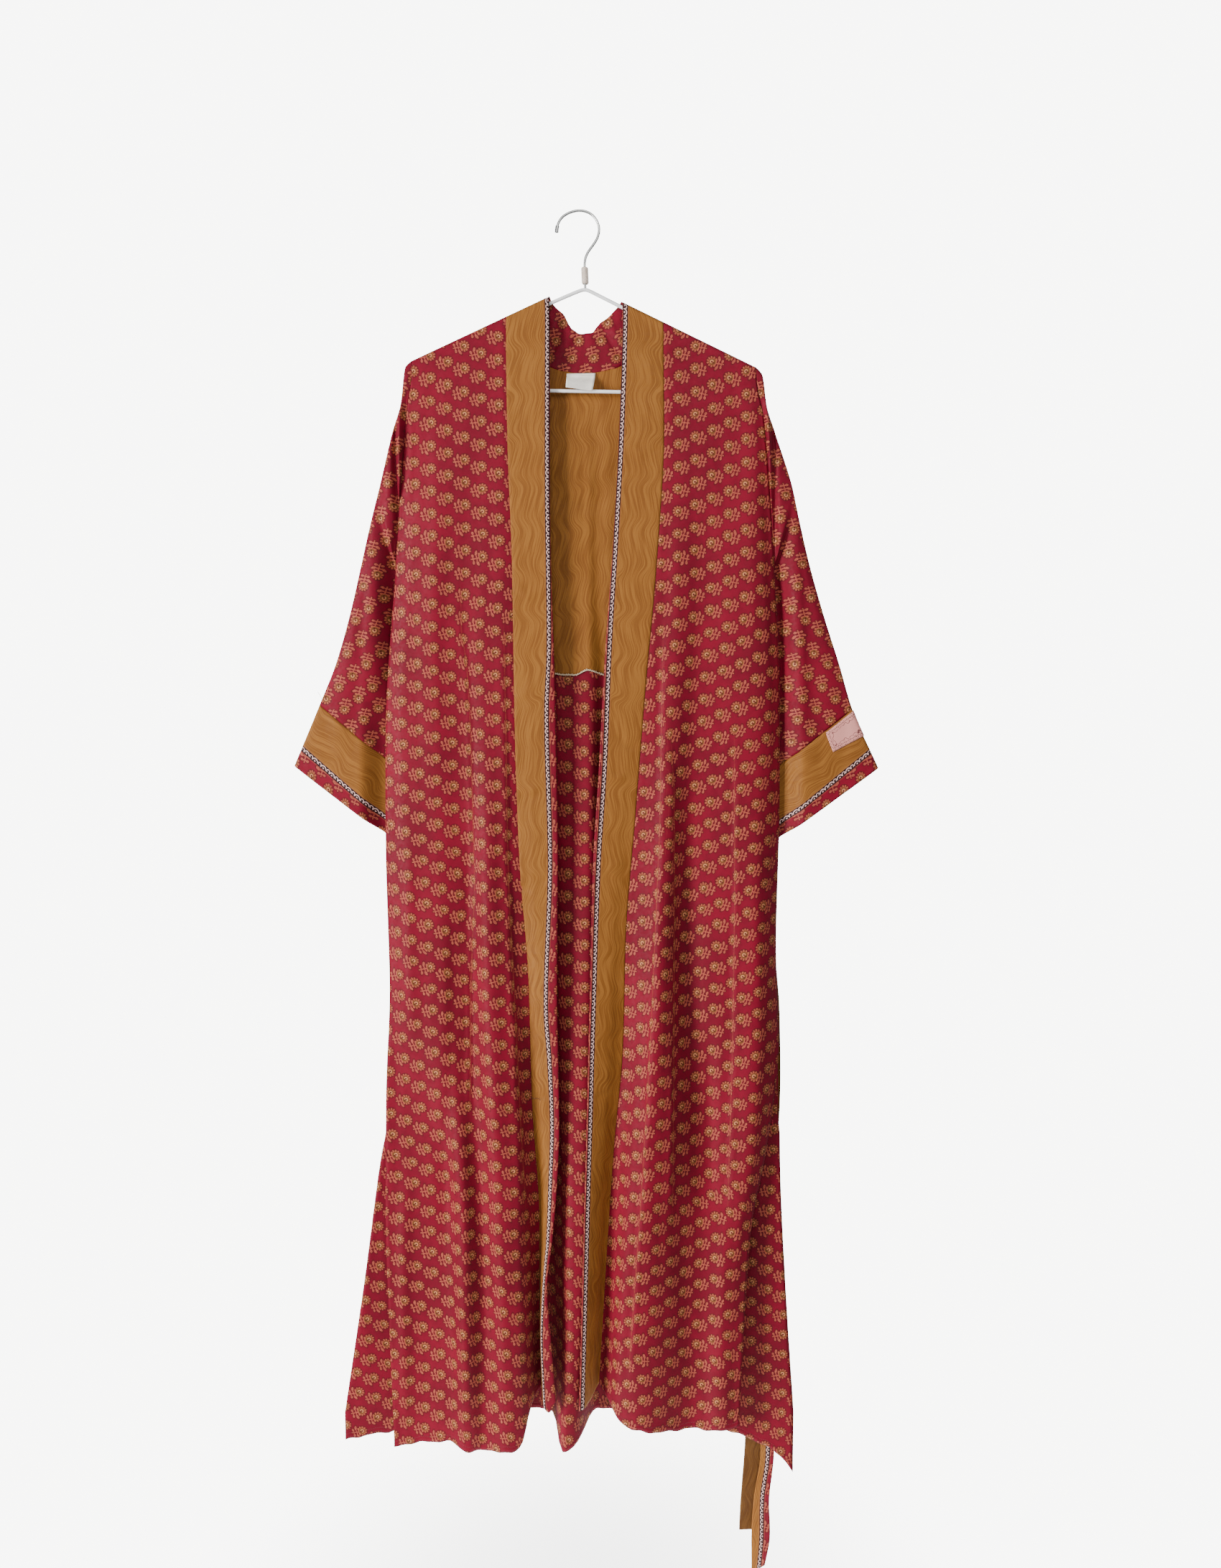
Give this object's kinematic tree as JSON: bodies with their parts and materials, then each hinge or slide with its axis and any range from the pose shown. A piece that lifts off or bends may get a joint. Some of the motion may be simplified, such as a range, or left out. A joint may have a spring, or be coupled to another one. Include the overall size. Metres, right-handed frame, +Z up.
{
  "type": "kimono on a hanger",
  "caption": "Long open kimono with printed front bands, wide cuffs and hanging belt, draped flat on a rod hanger with a wire hook.",
  "frame": {"origin": "inner top of the hanger's hook, where the rail holds it", "axes": "+Z up, +X to the viewer's right, the open front faces -Y"},
  "size_m": [0.6989, 0.0731, 1.6849],
  "materials": {
    "flowered_cloth": "red cloth with a soft sheen and small ochre flowers",
    "border_cloth": "ochre wave-print cloth with a soft sheen, dark scroll line and red margin",
    "pink_cloth": "matt pale pink cloth",
    "label_cloth": "matt white tape, blank",
    "white_rod": "white coated rod",
    "hook_wire": "plain steel wire",
    "beige_collar": "beige matt sleeve"
  },
  "bodies": {
    "root": {"front_right": "flowered_cloth", "front_left": "flowered_cloth", "back": "flowered_cloth", "sleeve_right": "flowered_cloth", "sleeve_left": "flowered_cloth", "neckband": "flowered_cloth", "belt_loop": "flowered_cloth", "back_yoke": "border_cloth", "band_right": "border_cloth", "band_left": "border_cloth", "cuff_right": "border_cloth", "cuff_left": "border_cloth", "belt": "border_cloth", "cuff_patch": "pink_cloth", "neck_label": "label_cloth", "hanger_frame": "white_rod", "hanger_hook": "hook_wire", "hanger_collar": "beige_collar"}
  },
  "joints": []
}
